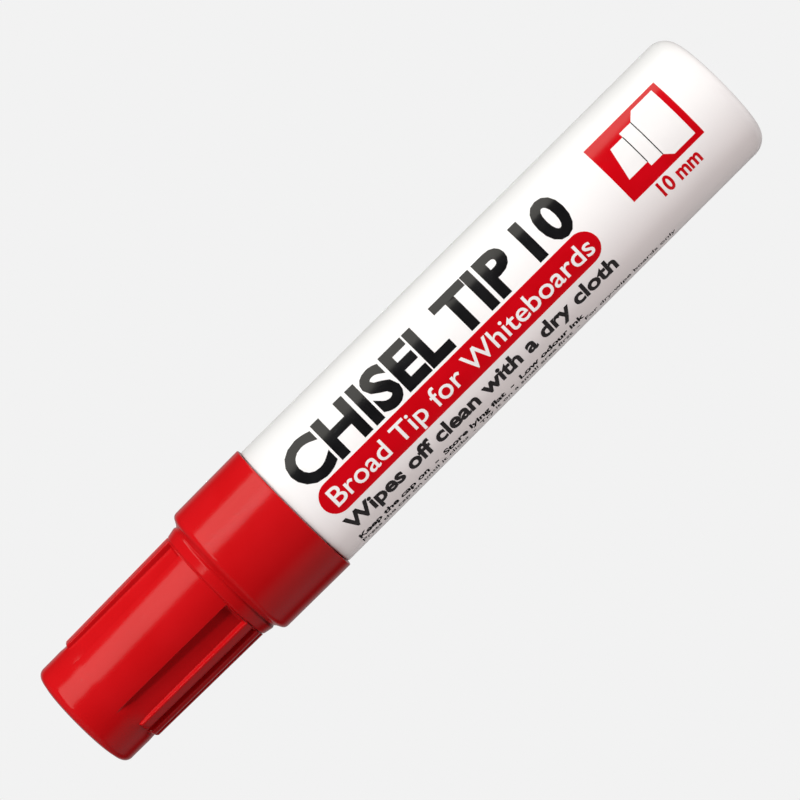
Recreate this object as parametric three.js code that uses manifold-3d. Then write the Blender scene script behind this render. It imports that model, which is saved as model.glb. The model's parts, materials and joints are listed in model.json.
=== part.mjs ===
// A jumbo whiteboard marker: barrel, nose, chisel nib, ink reservoir, and a pull-off cap with an inner
// seal. Millimetres, +Z up. The marker stands on its flat tail: the origin is the centre of the tail
// face, and +Z runs along the marker towards the nib and the cap.

import * as THREE from 'three';
import { mergeVertices } from 'three/addons/utils/BufferGeometryUtils.js';
import Module from 'manifold-3d';

const wasm = await Module();
wasm.setup();

// Driving dimensions. A height is measured from the tail face, and a radius from the marker's axis.
const LENGTH = 135.7;
const CAP_LENGTH = 45.6;
const BARREL_RADIUS = 11.5;
const TAIL_RADIUS = 11.4;
const TAIL_EDGE_RADIUS = 3.2;
const SHOULDER_Z = 89.8;
const MOUTH_Z = 101.6;
const SPIGOT_RADIUS = 10.35;
const BORE_RADIUS = 9.3;
const SNAP_BEAD = { z: 97.6, height: 2.0, proud: 0.22 };
const TAIL_FLOOR = 2.0;
const WALL_RIB = { height: 0.25, halfAngle: 2.5, bottom: 8, top: 92 };
const FLOOR_RIB = { inner: 3.0, outer: 7.4, halfAngle: 6 };
const RIB_COUNT = 6;

const NOSE = {
  skirtBottom: 95.2,
  flangeRadius: 10.2,
  flangeTop: 102.6,
  baseRadius: 7.8,
  baseTop: 108.2,
  neckRadius: 6.5,
  neckBottom: 110.2,
  neckTop: 116.2,
  collarTop: 119.7,
  collarWidth: 12.2,
  collarDepth: 7.8,
  collarCorner: 2.4,
  skirtHollow: 8.1,
  baseHollow: 6.7,
  neckHollow: 5.6,
  hollowTop: 112.2,
};
const VENT = { width: 1.0, depth: 0.45, corner: 0.3 };
const NIB = { width: 10, thickness: 5.6, corner: 1.5, tip: 127.2, tail: 87.7, clearance: 0.2 };
// The chisel seen from the side, as [y, distance below the tip], from its high edge to its low one.
const CHISEL = [[3.8, 2.2], [2.5, 0.9], [1.8, 0.15], [1.1, 0], [0.4, 0.35], [-2.5, 3.9], [-3.8, 5.4]];
const RESERVOIR = { radius: 8.7, bottom: 4.2, top: 93.7, pocket: 0.6, filmGap: 0.05, film: 0.2 };

const CAP_END = { radius: 9.47, corner: 1.3, dome: 0.35 };
const COLLAR = { radius: 11.98, rimRadius: 12.1, boreRadius: 10.75, leadIn: 0.3, length: 13.05 };
// The neck ring between collar and grip, as [radius, distance from the cap's closed end].
const NECK_RING = [[10.75, 31.2], [10.45, 30.9], [10.6, 30.6], [10.3, 29.05], [10.0, 28.8]];
const GRIP = { start: 6.9, end: 28.65, baseRadius: 9.5, panelEndRadius: 10.1 };
const RIB = { radius: 9.93, endRadius: 10.25, ramp: 1.2, count: 4, width: 12.5, pitch: 18.2 };
const PANEL = { width: 62, centre: -77 };
// A recess is flat between its edges and the ribs. Its floor's radius at its edge and under each rib.
const FLOOR = { edge: 9.7, outerRib: 9.15, innerRib: 9.3 };
const CAP_BORE = { radius: 8.3, corner: 0.8, coneEnd: 30.4, endWall: 1.5 };

const SEAL = {
  mouth: 110.9,
  boreRadius: 6.8,
  lipRadius: 6.6,
  lipBottom: 1.0,
  lipTop: 1.6,
  wall: 0.75,
  ringHeight: 1.4,
  ringSlope: 0.3,
  upperRingDrop: 3.0,
  roof: 1.0,
  corner: 0.6,
};

const SEGMENTS = 48;
const ARC_STEPS = 4;
const WELD = 1e-4;
const FIT_GAP = 0.1;
// How far a cutting or joining shape runs past the surface that it cuts or joins.
const OVERRUN = 1;

// Heights on the cap are given as distances from its closed end, as on the cap's own drawing.
const fromEnd = (distance) => LENGTH - distance;
const CAP_RIM_Z = fromEnd(CAP_LENGTH);

const radians = THREE.MathUtils.degToRad;
const at = (radius, z) => new THREE.Vector2(radius, z);

// Points on an arc round (radius, z), from one angle to the other, in degrees.
const arc = (radius, z, size, from, to, steps = ARC_STEPS) =>
  Array.from({ length: steps + 1 }, (_, i) => {
    const angle = radians(from + ((to - from) * i) / steps);
    return at(radius + size * Math.cos(angle), z + size * Math.sin(angle));
  });

// A closed geometry as a solid: shared corners are merged and empty triangles dropped.
const solidOf = (geometry) => {
  geometry.deleteAttribute('normal');
  geometry.deleteAttribute('uv');
  const merged = mergeVertices(geometry, WELD);
  const corners = merged.index.array;
  const triangles = [];
  for (let i = 0; i < corners.length; i += 3) {
    const [a, b, c] = corners.slice(i, i + 3);
    if (a !== b && b !== c && c !== a) triangles.push(a, b, c);
  }
  return new wasm.Manifold(new wasm.Mesh({
    numProp: 3,
    vertProperties: new Float32Array(merged.attributes.position.array),
    triVerts: new Uint32Array(triangles),
  }));
};

// A turned solid. Its profile runs anticlockwise, from the axis to the axis or round to its start.
const turned = (profile, segments = SEGMENTS) =>
  solidOf(new THREE.LatheGeometry(profile, segments).rotateX(Math.PI / 2));

const extruded = (shape, bottom, top, curveSegments = 4) =>
  solidOf(new THREE.ExtrudeGeometry(shape, {
    depth: top - bottom,
    bevelEnabled: false,
    curveSegments,
  }).translate(0, 0, bottom));

// A wedge of a ring between two directions round the axis, in degrees from +X.
const ringWedge = (inner, outer, from, to, bottom, top) => {
  const shape = new THREE.Shape();
  shape.absarc(0, 0, outer, radians(from), radians(to), false);
  shape.absarc(0, 0, inner, radians(to), radians(from), true);
  shape.closePath();
  const steps = Math.max(1, Math.ceil((to - from) / (360 / SEGMENTS)));
  return extruded(shape, bottom, top, steps);
};

const roundedRectangle = (width, depth, corner) => {
  const shape = new THREE.Shape();
  const x = width / 2 - corner;
  const y = depth / 2 - corner;
  shape.absarc(x, y, corner, 0, Math.PI / 2, false);
  shape.absarc(-x, y, corner, Math.PI / 2, Math.PI, false);
  shape.absarc(-x, -y, corner, Math.PI, 1.5 * Math.PI, false);
  shape.absarc(x, -y, corner, 1.5 * Math.PI, 2 * Math.PI, false);
  shape.closePath();
  return shape;
};

const joined = (solids) => solids.reduce((sum, solid) => sum.add(solid));

const toMesh = (name, solid, look) => {
  const { vertProperties, triVerts } = solid.getMesh();
  const geometry = new THREE.BufferGeometry();
  geometry.setAttribute('position', new THREE.BufferAttribute(vertProperties, 3));
  geometry.setIndex(new THREE.BufferAttribute(triVerts, 1));
  geometry.computeVertexNormals();
  const mesh = new THREE.Mesh(geometry, new THREE.MeshStandardMaterial(look));
  mesh.name = name;
  return mesh;
};

// Barrel: a closed tail with a rounded edge, a slight draft, a shoulder that the cap stops on, and a
// narrower spigot with a snap bead that the cap's collar covers.
const makeBarrel = () => {
  const beadTop = SNAP_BEAD.z + SNAP_BEAD.height / 2;
  const beadBottom = SNAP_BEAD.z - SNAP_BEAD.height / 2;
  const beadFlat = SNAP_BEAD.height / 6;
  const shoulderChamfer = 0.25;
  const mouthChamfer = 0.4;
  const outside = [
    at(0, 0),
    ...arc(TAIL_RADIUS - TAIL_EDGE_RADIUS, TAIL_EDGE_RADIUS, TAIL_EDGE_RADIUS, -90, 0),
    at(BARREL_RADIUS, SHOULDER_Z - shoulderChamfer),
    at(BARREL_RADIUS - shoulderChamfer, SHOULDER_Z),
    at(SPIGOT_RADIUS, SHOULDER_Z),
    at(SPIGOT_RADIUS, beadBottom),
    at(SPIGOT_RADIUS + SNAP_BEAD.proud, SNAP_BEAD.z - beadFlat),
    at(SPIGOT_RADIUS + SNAP_BEAD.proud, SNAP_BEAD.z + beadFlat),
    at(SPIGOT_RADIUS, beadTop),
    at(SPIGOT_RADIUS, MOUTH_Z - mouthChamfer),
    at(SPIGOT_RADIUS - mouthChamfer, MOUTH_Z),
    at(0, MOUTH_Z),
  ];
  const floorCorner = 1.2;
  const hollow = [
    at(0, TAIL_FLOOR),
    ...arc(BORE_RADIUS - floorCorner, TAIL_FLOOR + floorCorner, floorCorner, -90, 0),
    at(BORE_RADIUS, MOUTH_Z + OVERRUN),
    at(0, MOUTH_Z + OVERRUN),
  ];
  // Low ribs on the floor and on the wall hold the reservoir clear, so that air can pass round it.
  const ribs = Array.from({ length: RIB_COUNT }, (_, i) => (360 * i) / RIB_COUNT).flatMap((angle) => [
    ringWedge(
      FLOOR_RIB.inner,
      FLOOR_RIB.outer,
      angle - FLOOR_RIB.halfAngle,
      angle + FLOOR_RIB.halfAngle,
      TAIL_FLOOR - OVERRUN,
      RESERVOIR.bottom - FIT_GAP,
    ),
    ringWedge(
      BORE_RADIUS - WALL_RIB.height,
      BORE_RADIUS + OVERRUN / 2,
      angle - WALL_RIB.halfAngle,
      angle + WALL_RIB.halfAngle,
      WALL_RIB.bottom,
      WALL_RIB.top,
    ),
  ]);
  return turned(outside).subtract(turned(hollow)).add(joined(ribs));
};

// Nose: a skirt pressed into the barrel's mouth, a flange that lies on the mouth, a base, a cone and a
// neck that the inner seal closes on, and a flat collar round the nib.
const makeNose = () => {
  const skirtRadius = BORE_RADIUS - FIT_GAP;
  const leadIn = 0.5;
  const flangeEdge = 0.2;
  const neckEdge = 0.7;
  const outside = [
    at(0, NOSE.skirtBottom),
    at(skirtRadius - leadIn, NOSE.skirtBottom),
    at(skirtRadius, NOSE.skirtBottom + leadIn),
    at(skirtRadius, MOUTH_Z),
    at(NOSE.flangeRadius, MOUTH_Z),
    at(NOSE.flangeRadius, NOSE.flangeTop - flangeEdge),
    at(NOSE.flangeRadius - flangeEdge, NOSE.flangeTop),
    at(NOSE.baseRadius, NOSE.flangeTop),
    at(NOSE.baseRadius, NOSE.baseTop),
    at(NOSE.neckRadius, NOSE.neckBottom),
    ...arc(NOSE.neckRadius - neckEdge, NOSE.neckTop - neckEdge, neckEdge, 0, 90, 3),
    at(0, NOSE.neckTop),
  ];
  const collar = extruded(
    roundedRectangle(NOSE.collarWidth, NOSE.collarDepth, NOSE.collarCorner),
    NOSE.neckTop - OVERRUN,
    NOSE.collarTop,
  );
  const wall = 1.4;
  const hollow = [
    at(0, NOSE.skirtBottom - OVERRUN),
    at(NOSE.skirtHollow, NOSE.skirtBottom - OVERRUN),
    at(NOSE.skirtHollow, NOSE.flangeTop - wall),
    at(NOSE.baseHollow, NOSE.flangeTop),
    at(NOSE.baseHollow, NOSE.baseTop - wall / 2),
    at(NOSE.neckHollow, NOSE.neckBottom - wall / 3),
    at(NOSE.neckHollow, NOSE.hollowTop),
    at(0, NOSE.hollowTop),
  ];
  const slotWidth = NIB.width + NIB.clearance;
  const slotDepth = NIB.thickness + NIB.clearance;
  const cutTop = NOSE.collarTop + OVERRUN;
  const slot = extruded(roundedRectangle(slotWidth, slotDepth, NIB.corner), NOSE.skirtBottom, cutTop);
  // Two fine grooves beside the nib let air into the barrel as the ink is used.
  const ventOutline = roundedRectangle(VENT.width, slotDepth + 2 * VENT.depth, VENT.corner);
  const vent = extruded(ventOutline, NOSE.skirtBottom, cutTop);
  return turned(outside).add(collar).subtract(turned(hollow)).subtract(slot.add(vent));
};

// Nib: a rounded bar of felt whose tip is cut to a chisel, wide along X.
const makeNib = () => {
  const highEdge = CHISEL[0][0];
  const lowEdge = CHISEL.at(-1)[0];
  const side = new THREE.Shape([
    at(lowEdge, NIB.tail - OVERRUN),
    at(highEdge, NIB.tail - OVERRUN),
    ...CHISEL.map(([y, drop]) => at(y, NIB.tip - drop)),
  ]);
  const width = NIB.width + 2 * OVERRUN;
  const alongX = new THREE.Matrix4().makeBasis(
    new THREE.Vector3(0, 1, 0),
    new THREE.Vector3(0, 0, 1),
    new THREE.Vector3(1, 0, 0),
  );
  const sideCut = new THREE.ExtrudeGeometry(side, { depth: width, bevelEnabled: false })
    .applyMatrix4(alongX)
    .translate(-width / 2, 0, 0);
  const bar = extruded(roundedRectangle(NIB.width, NIB.thickness, NIB.corner), NIB.tail, NIB.tip);
  return bar.intersect(solidOf(sideCut));
};

// Reservoir: a round bundle of fibre with a pocket for the nib's tail.
const makeFibre = () => {
  const edge = 0.6;
  const bundle = turned([
    at(0, RESERVOIR.bottom),
    at(RESERVOIR.radius - edge, RESERVOIR.bottom),
    at(RESERVOIR.radius, RESERVOIR.bottom + edge),
    at(RESERVOIR.radius, RESERVOIR.top - edge),
    at(RESERVOIR.radius - edge, RESERVOIR.top),
    at(0, RESERVOIR.top),
  ]);
  const pocket = extruded(
    roundedRectangle(NIB.width + RESERVOIR.pocket, NIB.thickness + RESERVOIR.pocket, NIB.corner),
    NIB.tail - RESERVOIR.pocket / 2,
    RESERVOIR.top + OVERRUN,
  );
  return bundle.subtract(pocket);
};

// The thin film round the fibre, open at both ends.
const makeFilm = () => {
  const inner = RESERVOIR.radius + RESERVOIR.filmGap;
  const outer = inner + RESERVOIR.film;
  return turned([
    at(inner, RESERVOIR.bottom),
    at(outer, RESERVOIR.bottom),
    at(outer, RESERVOIR.top),
    at(inner, RESERVOIR.top),
    at(inner, RESERVOIR.bottom),
  ]);
};

// Cap shell: a collar over the barrel's spigot, a neck ring, a grip with two smooth panels and two
// groups of ribs between them, and a plain, slightly domed end.
const makeCapShell = () => {
  const collarTop = fromEnd(CAP_LENGTH - COLLAR.length);
  const rimEdge = 0.2;
  const collarEdge = 0.3;
  const outside = [
    at(0, CAP_RIM_Z),
    at(COLLAR.rimRadius - rimEdge, CAP_RIM_Z),
    at(COLLAR.rimRadius, CAP_RIM_Z + rimEdge),
    at(COLLAR.radius, collarTop - collarEdge),
    at(COLLAR.radius - collarEdge / 2, collarTop),
    ...NECK_RING.map(([radius, distance]) => at(radius, fromEnd(distance))),
    at(GRIP.panelEndRadius, fromEnd(GRIP.end)),
    at(GRIP.baseRadius, fromEnd(GRIP.start)),
    ...arc(CAP_END.radius - CAP_END.corner, fromEnd(CAP_END.dome + CAP_END.corner), CAP_END.corner, 0, 85),
    at(CAP_END.radius / 2, fromEnd(CAP_END.dome / 4)),
    at(0, LENGTH),
  ];
  // The side recesses run parallel to the axis, with a flat floor from each rib to the next.
  const halfRecess = 90 - PANEL.width / 2;
  const grooveCentres = [PANEL.centre - 90, PANEL.centre + 90];
  const halfFloor = [
    [halfRecess, FLOOR.edge],
    [1.5 * RIB.pitch, FLOOR.outerRib],
    [0.5 * RIB.pitch, FLOOR.innerRib],
  ];
  const floor = [...halfFloor, ...halfFloor.map(([turn, radius]) => [-turn, radius]).reverse()];
  const recesses = grooveCentres.map((centre) => {
    const shape = new THREE.Shape();
    shape.absarc(0, 0, COLLAR.radius, radians(centre - halfRecess), radians(centre + halfRecess), false);
    floor.forEach(([turn, radius]) => {
      const angle = radians(centre + turn);
      shape.lineTo(radius * Math.cos(angle), radius * Math.sin(angle));
    });
    shape.closePath();
    return extruded(shape, fromEnd(GRIP.end), fromEnd(GRIP.start), 16);
  });
  const ribRoot = FLOOR.outerRib - 0.4;
  const ribToe = GRIP.baseRadius - 0.05;
  const ribSurface = turned([
    at(ribRoot, fromEnd(GRIP.end)),
    at(RIB.endRadius, fromEnd(GRIP.end)),
    at(RIB.radius, fromEnd(GRIP.start + RIB.ramp)),
    at(ribToe, fromEnd(GRIP.start)),
    at(ribRoot, fromEnd(GRIP.start)),
    at(ribRoot, fromEnd(GRIP.end)),
  ]);
  const ribWedges = grooveCentres.flatMap((centre) =>
    Array.from({ length: RIB.count }, (_, i) => {
      const angle = centre + (i - (RIB.count - 1) / 2) * RIB.pitch;
      return ringWedge(
        ribRoot - OVERRUN,
        COLLAR.radius,
        angle - RIB.width / 2,
        angle + RIB.width / 2,
        fromEnd(GRIP.end) - OVERRUN,
        fromEnd(GRIP.start) + OVERRUN,
      );
    }));
  const leadInHeight = 2 * COLLAR.leadIn;
  const collarRoof = 0.4;
  const hollow = [
    at(0, CAP_RIM_Z - OVERRUN),
    at(COLLAR.boreRadius + COLLAR.leadIn, CAP_RIM_Z - OVERRUN),
    at(COLLAR.boreRadius + COLLAR.leadIn, CAP_RIM_Z),
    at(COLLAR.boreRadius, CAP_RIM_Z + leadInHeight),
    at(COLLAR.boreRadius, collarTop - collarRoof),
    at(CAP_BORE.radius, fromEnd(CAP_BORE.coneEnd)),
    at(CAP_BORE.radius, fromEnd(CAP_BORE.endWall + CAP_BORE.corner)),
    at(CAP_BORE.radius - CAP_BORE.corner, fromEnd(CAP_BORE.endWall)),
    at(0, fromEnd(CAP_BORE.endWall)),
  ];
  return turned(outside)
    .subtract(joined(recesses))
    .add(ribSurface.intersect(joined(ribWedges)))
    .subtract(turned(hollow));
};

// Inner seal: a soft cup held in the cap's bore by two rings, whose lip closes on the nose's neck.
const makeInnerSeal = () => {
  const ringRadius = CAP_BORE.radius - FIT_GAP;
  const body = SEAL.boreRadius + SEAL.wall;
  const top = fromEnd(CAP_BORE.endWall) - FIT_GAP;
  const upperRing = top - SEAL.upperRingDrop;
  return turned([
    at(SEAL.boreRadius, SEAL.mouth),
    at(ringRadius, SEAL.mouth),
    at(ringRadius, SEAL.mouth + SEAL.ringHeight),
    at(body, SEAL.mouth + SEAL.ringHeight + SEAL.ringSlope),
    at(body, upperRing - SEAL.ringHeight),
    at(ringRadius, upperRing - SEAL.ringHeight + SEAL.ringSlope),
    at(ringRadius, upperRing),
    at(body, upperRing + SEAL.ringSlope),
    at(body, top - SEAL.corner),
    at(body - SEAL.corner, top),
    at(0, top),
    at(0, top - SEAL.roof),
    at(SEAL.boreRadius - SEAL.corner, top - SEAL.roof),
    at(SEAL.boreRadius, top - SEAL.roof - SEAL.corner),
    at(SEAL.boreRadius, SEAL.mouth + SEAL.lipTop + SEAL.corner),
    at(SEAL.lipRadius, SEAL.mouth + SEAL.lipTop),
    at(SEAL.lipRadius, SEAL.mouth + SEAL.lipBottom),
    at(SEAL.boreRadius, SEAL.mouth),
  ]);
};

const WHITE_GLOSS = { color: 0xf7f7f7, roughness: 0.25, metalness: 0 };
const WHITE_SATIN = { color: 0xededeb, roughness: 0.5, metalness: 0 };
const RED_FELT = { color: 0xb0141c, roughness: 0.95, metalness: 0 };
const PINK_FIBRE = { color: 0xd8707a, roughness: 0.95, metalness: 0 };
const CLEAR_FILM = { color: 0xe4e8ea, roughness: 0.3, metalness: 0 };
const RED_GLOSS = { color: 0xd01018, roughness: 0.25, metalness: 0 };
const MILKY_PLASTIC = { color: 0xf0ece6, roughness: 0.5, metalness: 0 };

const marker = new THREE.Group();
marker.add(toMesh('barrel', makeBarrel(), WHITE_GLOSS));
marker.add(toMesh('nose', makeNose(), WHITE_SATIN));
marker.add(toMesh('nib', makeNib(), RED_FELT));
marker.add(toMesh('reservoir_fibre', makeFibre(), PINK_FIBRE));
marker.add(toMesh('reservoir_film', makeFilm(), CLEAR_FILM));
marker.add(toMesh('cap_shell', makeCapShell(), RED_GLOSS));
marker.add(toMesh('cap_inner_seal', makeInnerSeal(), MILKY_PLASTIC));

export default marker;
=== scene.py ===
# %% [markdown]
# # A jumbo whiteboard marker
# The marker is a white moulded barrel with a red pull-off cap. Under the cap sit a white nose and a
# broad felt nib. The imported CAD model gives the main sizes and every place; this lesson builds the
# fine surfaces, the printing and the finishes round it, one step at a time.

# %% Load the frame
import json
import math

import bmesh
import bpy
from mathutils import Matrix, Vector

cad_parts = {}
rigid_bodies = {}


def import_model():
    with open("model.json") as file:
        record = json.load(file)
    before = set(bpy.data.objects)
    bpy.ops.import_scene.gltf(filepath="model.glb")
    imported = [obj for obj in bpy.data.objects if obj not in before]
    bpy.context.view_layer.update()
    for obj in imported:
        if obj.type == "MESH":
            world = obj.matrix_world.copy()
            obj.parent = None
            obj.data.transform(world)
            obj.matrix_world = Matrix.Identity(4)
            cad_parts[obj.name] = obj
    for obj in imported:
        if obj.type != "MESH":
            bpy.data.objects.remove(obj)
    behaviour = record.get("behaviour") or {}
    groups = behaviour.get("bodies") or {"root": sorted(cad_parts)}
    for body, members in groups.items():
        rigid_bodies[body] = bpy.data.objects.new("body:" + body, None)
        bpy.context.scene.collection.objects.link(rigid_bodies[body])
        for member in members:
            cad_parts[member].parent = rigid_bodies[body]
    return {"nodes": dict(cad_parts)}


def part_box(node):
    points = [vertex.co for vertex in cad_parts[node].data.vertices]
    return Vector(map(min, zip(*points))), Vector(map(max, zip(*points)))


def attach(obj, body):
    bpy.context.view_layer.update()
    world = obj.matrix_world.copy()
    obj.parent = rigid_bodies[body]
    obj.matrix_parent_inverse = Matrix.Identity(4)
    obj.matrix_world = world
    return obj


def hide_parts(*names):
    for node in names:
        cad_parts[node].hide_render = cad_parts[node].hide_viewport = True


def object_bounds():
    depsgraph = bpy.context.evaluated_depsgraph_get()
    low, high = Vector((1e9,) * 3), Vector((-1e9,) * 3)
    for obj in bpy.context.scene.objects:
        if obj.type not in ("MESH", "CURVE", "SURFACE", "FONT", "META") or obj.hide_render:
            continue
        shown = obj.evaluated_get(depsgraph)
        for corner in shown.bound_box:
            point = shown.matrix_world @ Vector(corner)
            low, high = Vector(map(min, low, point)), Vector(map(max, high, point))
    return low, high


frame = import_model()
cad_low, cad_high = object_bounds()
MM = 0.001
print("size in mm:", [round(side / MM, 1) for side in cad_high - cad_low])

# %% [markdown]
# ## Where things are
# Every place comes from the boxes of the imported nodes, so the fine pieces stand where the plain ones
# do. Lengths below are in millimetres, because that is how a maker reads them, and are turned into
# metres only when a mesh is made. Heights run from 0 at the flat tail up to the cap's closed end.

# %% Read the driving sizes from the frame
def box_mm(node):
    low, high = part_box(node)
    return Vector(low) / MM, Vector(high) / MM


barrel_low, barrel_high = box_mm("barrel")
cap_low, cap_high = box_mm("cap_shell")
nose_low, nose_high = box_mm("nose")
seal_low, seal_high = box_mm("cap_inner_seal")
nib_low, nib_high = box_mm("nib")

LENGTH = cap_high.z
CAP_RIM = cap_low.z
COLLAR_RIM_RADIUS = cap_high.x
BARREL_RADIUS = barrel_high.x
MOUTH = barrel_high.z
RIM_GAP = 0.08
SHOULDER = CAP_RIM - RIM_GAP
print(f"length {LENGTH:.1f}, cap rim at {CAP_RIM:.1f}, barrel radius {BARREL_RADIUS:.2f}")

# %% [markdown]
# ## Turned parts
# Barrel, cap, nose and inner seal are all round, so each starts as a profile that is swept round the
# axis. A moulded part has no sharp corner: a helper rounds each corner of a profile with a short
# curve and puts a holding point on each side of it, so that smooth shading stays tight there. Spin or
# a Screw modifier could turn a profile too, but the cap's radius has to change with direction as well.

# %% Profiles with rounded corners
CORNER_STEPS = 5
HOLD = 0.05
# A fillet and its holding point may take up these shares of the side that they lie on.
FILLET_SHARE = 0.45
HOLD_SHARE = 0.04


def rounded(corners, closed=False):
    """Turns (radius, height, fillet) corners into points, with each fillet as a short curve."""
    count = len(corners)
    points = []
    for index, (radius, height, fillet) in enumerate(corners):
        here = Vector((radius, height))
        at_an_end = not closed and index in (0, count - 1)
        if fillet == 0 or at_an_end:
            points.append(here)
            continue
        before = Vector(corners[index - 1][:2]) - here
        after = Vector(corners[(index + 1) % count][:2]) - here
        reach = min(fillet, FILLET_SHARE * before.length, FILLET_SHARE * after.length)
        start = here + before.normalized() * reach
        end = here + after.normalized() * reach
        hold = min(HOLD, HOLD_SHARE * min(before.length, after.length))
        points.append(start + before.normalized() * hold)
        for step in range(CORNER_STEPS + 1):
            t = step / CORNER_STEPS
            points.append(start * (1 - t) ** 2 + here * 2 * t * (1 - t) + end * t ** 2)
        points.append(end + after.normalized() * hold)
    return points


def arc(radius, height, size, start, end, steps=12):
    """Corner points on an arc round (radius, height), in degrees, for a profile."""
    angles = [math.radians(start + (end - start) * i / steps) for i in range(steps + 1)]
    return [(radius + size * math.cos(a), height + size * math.sin(a), 0) for a in angles]


# %% Sweep a profile round the axis
COLUMNS = 256
# Points nearer than MERGE are one point, and a face thinner than SLIVER is none, in metres.
MERGE = 1e-7
SLIVER = 1e-8


def new_object(name, mesh):
    piece = bpy.data.objects.new(name, mesh)
    bpy.context.scene.collection.objects.link(piece)
    return piece


def mesh_from(shape, name):
    """Makes a mesh of a bmesh: doubles merged, faces outward, shaded smooth."""
    bmesh.ops.remove_doubles(shape, verts=shape.verts, dist=MERGE)
    bmesh.ops.dissolve_degenerate(shape, edges=shape.edges, dist=SLIVER)
    bmesh.ops.recalc_face_normals(shape, faces=shape.faces)
    for face in shape.faces:
        face.smooth = True
    mesh = bpy.data.meshes.new(name)
    shape.to_mesh(mesh)
    shape.free()
    return mesh


def swept(name, radius_at, rows, angles, closed=False):
    """Sweeps rows of (radius, height) round the axis; radius_at may change a radius by direction."""
    shape = bmesh.new()
    grid = []
    for row, (radius, height) in enumerate(rows):
        ring = []
        for angle in angles:
            r = radius_at(row, radius, angle) * MM
            ring.append(shape.verts.new((r * math.cos(angle), r * math.sin(angle), height * MM)))
        grid.append(ring)
    pairs = list(zip(grid, grid[1:])) + ([(grid[-1], grid[0])] if closed else [])
    count = len(angles)
    for lower, upper in pairs:
        for i in range(count):
            j = (i + 1) % count
            shape.faces.new((lower[i], lower[j], upper[j], upper[i]))
    piece = new_object(name, mesh_from(shape, name))
    print(f"{name}: {len(piece.data.polygons)} faces")
    return piece


def turned(name, corners, closed=False):
    """A round piece from (radius, height, fillet) corners."""
    angles = [2 * math.pi * i / COLUMNS for i in range(COLUMNS)]
    rows = [tuple(point) for point in rounded(corners, closed)]
    return swept(name, lambda row, radius, angle: radius, rows, angles, closed)


# %% [markdown]
# ## Node expressions
# Geometry Nodes and shaders are both graphs of small sums. Wrapping a socket in a class lets Python's
# own operators add the Math nodes, so a formula in the script reads as a formula.

# %% A wire that Python's operators work on
class Wire:
    """One output of a node, in the tree that it belongs to."""

    def __init__(self, tree, socket=None):
        self.tree = tree
        self.socket = socket

    def node(self, kind, settings=None, inputs=None, output=0):
        """Adds any node: its settings first, then the values or wires of its sockets."""
        made = self.tree.nodes.new(kind)
        for name, value in (settings or {}).items():
            setattr(made, name, value)
        for key, value in (inputs or {}).items():
            if isinstance(value, Wire):
                self.tree.links.new(value.socket, made.inputs[key])
            else:
                made.inputs[key].default_value = value
        return Wire(self.tree, made.outputs[output])

    def maths(self, operation, *values):
        return self.node("ShaderNodeMath", {"operation": operation}, dict(enumerate(values)))

    def __add__(self, other):
        return self.maths("ADD", self, other)

    def __radd__(self, other):
        return self.maths("ADD", other, self)

    def __sub__(self, other):
        return self.maths("SUBTRACT", self, other)

    def __rsub__(self, other):
        return self.maths("SUBTRACT", other, self)

    def __mul__(self, other):
        return self.maths("MULTIPLY", self, other)

    def __rmul__(self, other):
        return self.maths("MULTIPLY", other, self)

    def __truediv__(self, other):
        return self.maths("DIVIDE", self, other)

    def __rtruediv__(self, other):
        return self.maths("DIVIDE", other, self)

    def between(self, low, high, to_low=0.0, to_high=1.0):
        """A smooth step from to_low to to_high as this value goes from low to high."""
        inputs = {"Value": self, "From Min": low, "From Max": high, "To Min": to_low, "To Max": to_high}
        return self.node("ShaderNodeMapRange", {"interpolation_type": "SMOOTHSTEP"}, inputs)


# %% [markdown]
# ## Two Geometry Nodes tools
# Two jobs repeat on this object. Ribs stand in a ring round the axis, so one rib is drawn and a node
# tree copies it. Printing is drawn flat, as on a printer's film, and a second tree rolls it onto the
# barrel. Both trees end in real geometry and a material, because an exporter drops instances.

# %% Start a node tree and apply it
def new_tree(name, inputs):
    tree = bpy.data.node_groups.new(name, "GeometryNodeTree")
    tree.interface.new_socket("Geometry", in_out="INPUT", socket_type="NodeSocketGeometry")
    for label, kind in inputs.items():
        tree.interface.new_socket(label, in_out="INPUT", socket_type=kind)
    tree.interface.new_socket("Geometry", in_out="OUTPUT", socket_type="NodeSocketGeometry")
    source = tree.nodes.new("NodeGroupInput")
    return tree, {socket.name: Wire(tree, socket) for socket in source.outputs if socket.name}


def end_tree(tree, geometry, material):
    start = Wire(tree)
    real = start.node("GeometryNodeRealizeInstances", inputs={"Geometry": geometry})
    painted = start.node("GeometryNodeSetMaterial", inputs={"Geometry": real, "Material": material})
    sink = tree.nodes.new("NodeGroupOutput")
    tree.links.new(painted.socket, sink.inputs[0])


def plain_mesh(piece):
    """Replaces a piece's mesh by its evaluated one, and takes its modifiers off."""
    evaluated = piece.evaluated_get(bpy.context.evaluated_depsgraph_get())
    mesh = bpy.data.meshes.new_from_object(evaluated)
    piece.modifiers.clear()
    piece.data = mesh
    mesh.name = piece.name
    return piece


def apply_tree(piece, tree, values):
    """Runs a tree on a piece with the given inputs, and leaves the result as a plain mesh."""
    modifier = piece.modifiers.new(tree.name, "NODES")
    modifier.node_group = tree
    names = {item.name: item.identifier for item in tree.interface.items_tree if item.in_out == "INPUT"}
    for label, value in values.items():
        modifier[names[label]] = value
    return plain_mesh(piece)


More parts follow.
